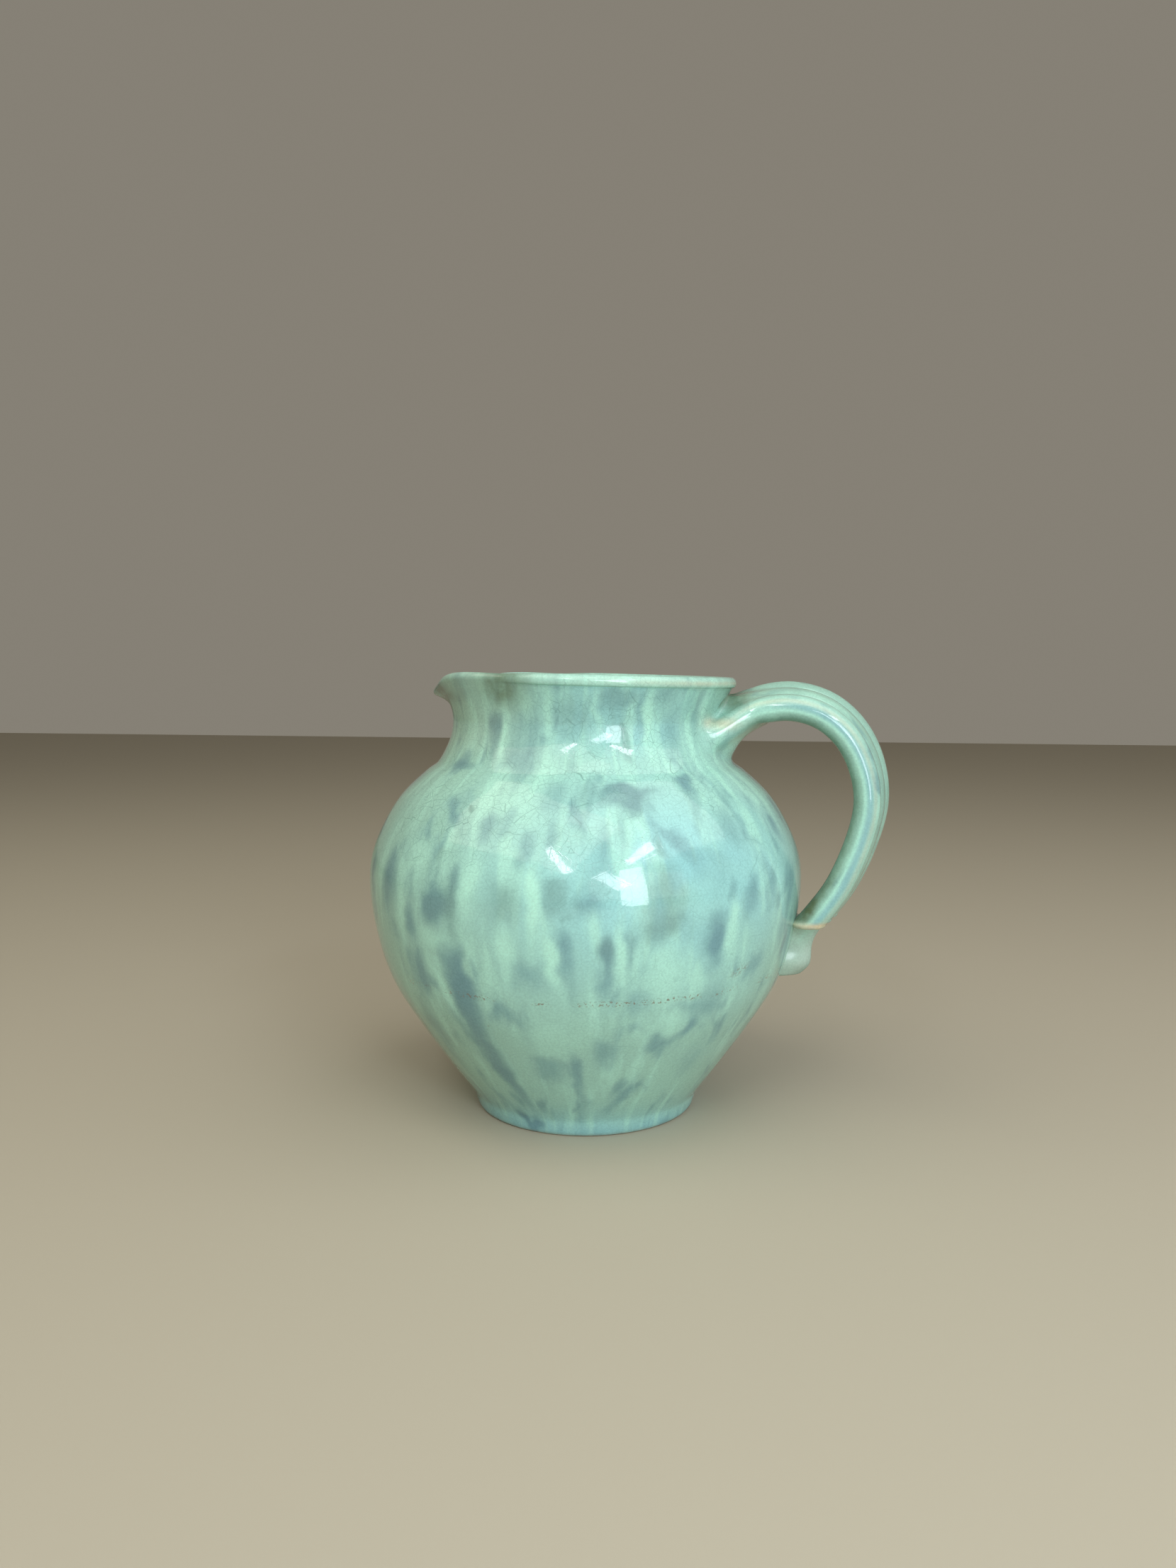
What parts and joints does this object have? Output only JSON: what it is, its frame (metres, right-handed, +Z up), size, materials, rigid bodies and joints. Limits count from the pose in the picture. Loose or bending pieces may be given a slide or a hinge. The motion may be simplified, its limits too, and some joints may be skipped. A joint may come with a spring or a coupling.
{
  "type": "ceramic pitcher",
  "caption": "Round-bellied glazed pouring pitcher with a short flared neck, a pinched drooping lip and a stranded loop handle.",
  "frame": {"origin": "centre of the bounding box in plan, on the plane that the foot stands on; the vessel's own axis is vertical and 19 mm towards -X from it", "axes": "+Z up, +X towards the handle, -X towards the pouring lip, the handle's middle plane is XZ"},
  "size_m": [0.2384, 0.1998, 0.2024],
  "materials": {
    "foot_ring_glaze": "gloss",
    "floor_slab_glaze": "gloss",
    "belly_wall_glaze": "gloss",
    "neck_collar_glaze": "gloss",
    "rim_band_glaze": "gloss",
    "pour_lip_glaze": "gloss",
    "handle_coil_near_glaze": "gloss",
    "handle_coil_mid_glaze": "gloss",
    "handle_coil_far_glaze": "gloss",
    "handle_root_pad_glaze": "gloss",
    "handle_tail_glaze": "gloss",
    "tail_knob_glaze": "gloss"
  },
  "bodies": {
    "root": {"foot_ring": "foot_ring_glaze", "floor_slab": "floor_slab_glaze", "belly_wall": "belly_wall_glaze", "neck_collar": "neck_collar_glaze", "rim_band": "rim_band_glaze", "pour_lip": "pour_lip_glaze", "handle_coil_near": "handle_coil_near_glaze", "handle_coil_mid": "handle_coil_mid_glaze", "handle_coil_far": "handle_coil_far_glaze", "handle_root_pad": "handle_root_pad_glaze", "handle_tail": "handle_tail_glaze", "tail_knob": "tail_knob_glaze"}
  },
  "joints": []
}
